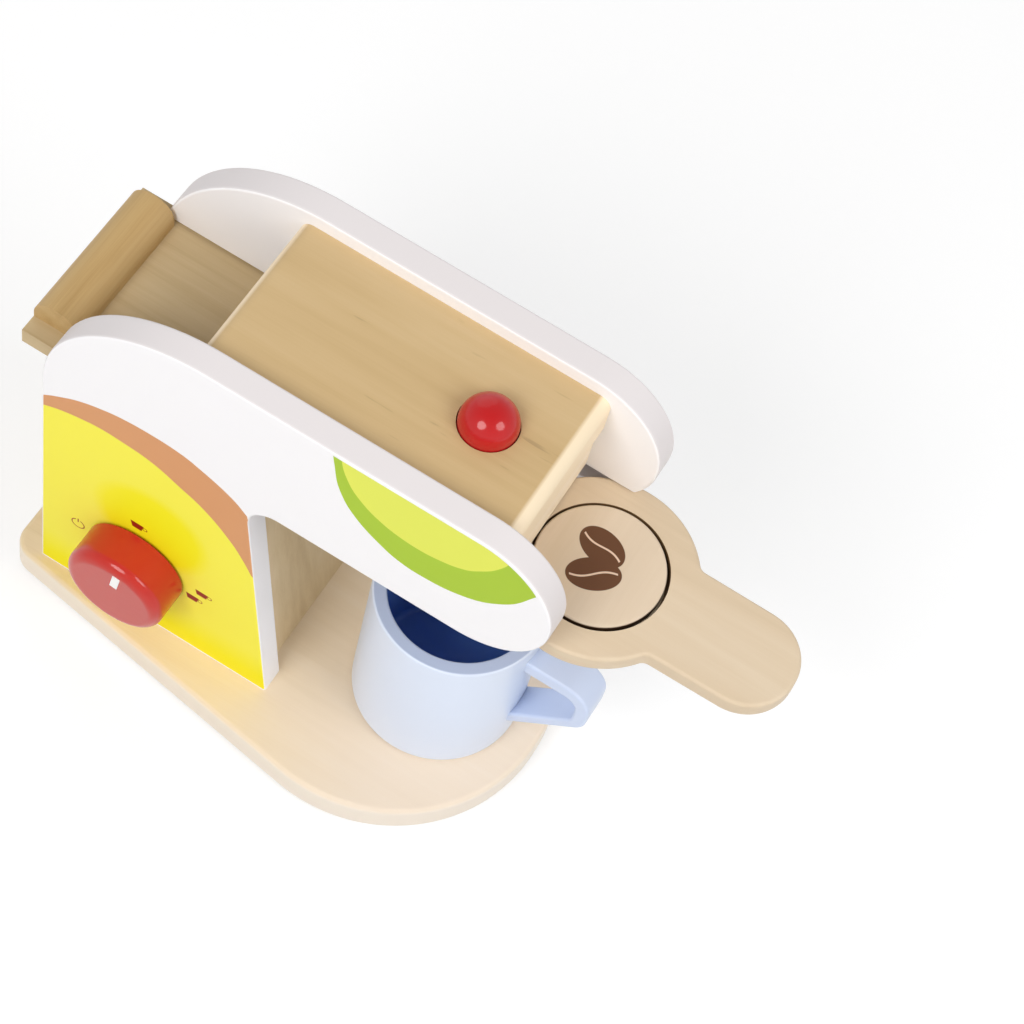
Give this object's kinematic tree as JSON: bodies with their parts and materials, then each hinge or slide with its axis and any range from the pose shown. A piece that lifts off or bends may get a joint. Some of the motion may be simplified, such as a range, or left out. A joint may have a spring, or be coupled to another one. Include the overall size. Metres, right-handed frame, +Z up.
{
  "type": "toy coffee maker",
  "caption": "Wooden toy coffee maker with sliding pad holder, push button, turning knob, rear slide and a cup on its base",
  "frame": {"origin": "middle of the base plate's flat underside", "axes": "+Z up; -Y to the front, where the cup and the paddle's handle are; the knob is on the -X side"},
  "size_m": [0.1104, 0.2375, 0.1784],
  "materials": {
    "base_wood": "pale sanded wood, clear matt lacquer",
    "panel_paint": "white satin paint on wood board",
    "board_wood": "sanded wood, clear matt lacquer",
    "cover_wood": "sanded wood, clear matt lacquer",
    "red_gloss": "red gloss paint on turned wood",
    "pointer_white": "white painted wood inlay",
    "steel": "plain steel",
    "felt": "pressed felt",
    "dowel_wood": "plain wood",
    "paddle_wood": "pale sanded wood, clear matt lacquer",
    "pad_wood": "pale sanded wood with printed beans",
    "cup_paint": "light blue satin paint on turned wood, dark blue inside"
  },
  "bodies": {
    "machine": {"base_plate": "base_wood", "side_panel_near": "panel_paint", "side_panel_far": "panel_paint", "back_board": "board_wood", "column_board": "board_wood", "top_cover": "cover_wood", "front_board": "board_wood", "spring_shelf": "dowel_wood", "button_spring": "steel", "knob_washer": "felt", "back_dowels": "dowel_wood", "column_dowels": "dowel_wood", "cover_dowels": "dowel_wood", "base_screws": "steel"},
    "knob": {"selector_knob": "red_gloss", "knob_pointer": "pointer_white", "knob_axle": "dowel_wood", "axle_cap": "dowel_wood"},
    "button": {"push_button": "red_gloss"},
    "rear_slide": {"slide_lid": "cover_wood", "lid_grip": "cover_wood"},
    "pad_holder": {"paddle": "paddle_wood"},
    "pad": {"coffee_pad": "pad_wood"},
    "drinking_cup": {"cup": "cup_paint", "cup_handle": "cup_paint"}
  },
  "joints": [
    {"name": "knob_turn", "type": "hinge", "parent": "machine", "child": "knob", "pos_m": [-0.0348, 0.0425, 0.0475], "axis": [-1, 0, 0], "range_deg": [-90, 90]},
    {"name": "button_push", "type": "slide", "parent": "machine", "child": "button", "axis": [0, 0, -1], "range_m": [0, 0.0045], "stiffness_N_per_m": 400, "springref_m": -0.003, "deforming": ["button_spring"]},
    {"name": "rear_slide_pull", "type": "slide", "parent": "machine", "child": "rear_slide", "axis": [0, 1, 0], "range_m": [0, 0.062]},
    {"name": "paddle_slide", "type": "slide", "parent": "machine", "child": "pad_holder", "axis": [0, -1, 0], "range_m": [-0.045, 0.028]},
    {"name": "pad_lift", "type": "slide", "parent": "pad_holder", "child": "pad", "axis": [0, 0, 1], "range_m": [0, 0.007]},
    {"name": "cup_out", "type": "slide", "parent": "machine", "child": "drinking_cup", "axis": [0, -1, 0], "range_m": [0, 0.09]}
  ]
}
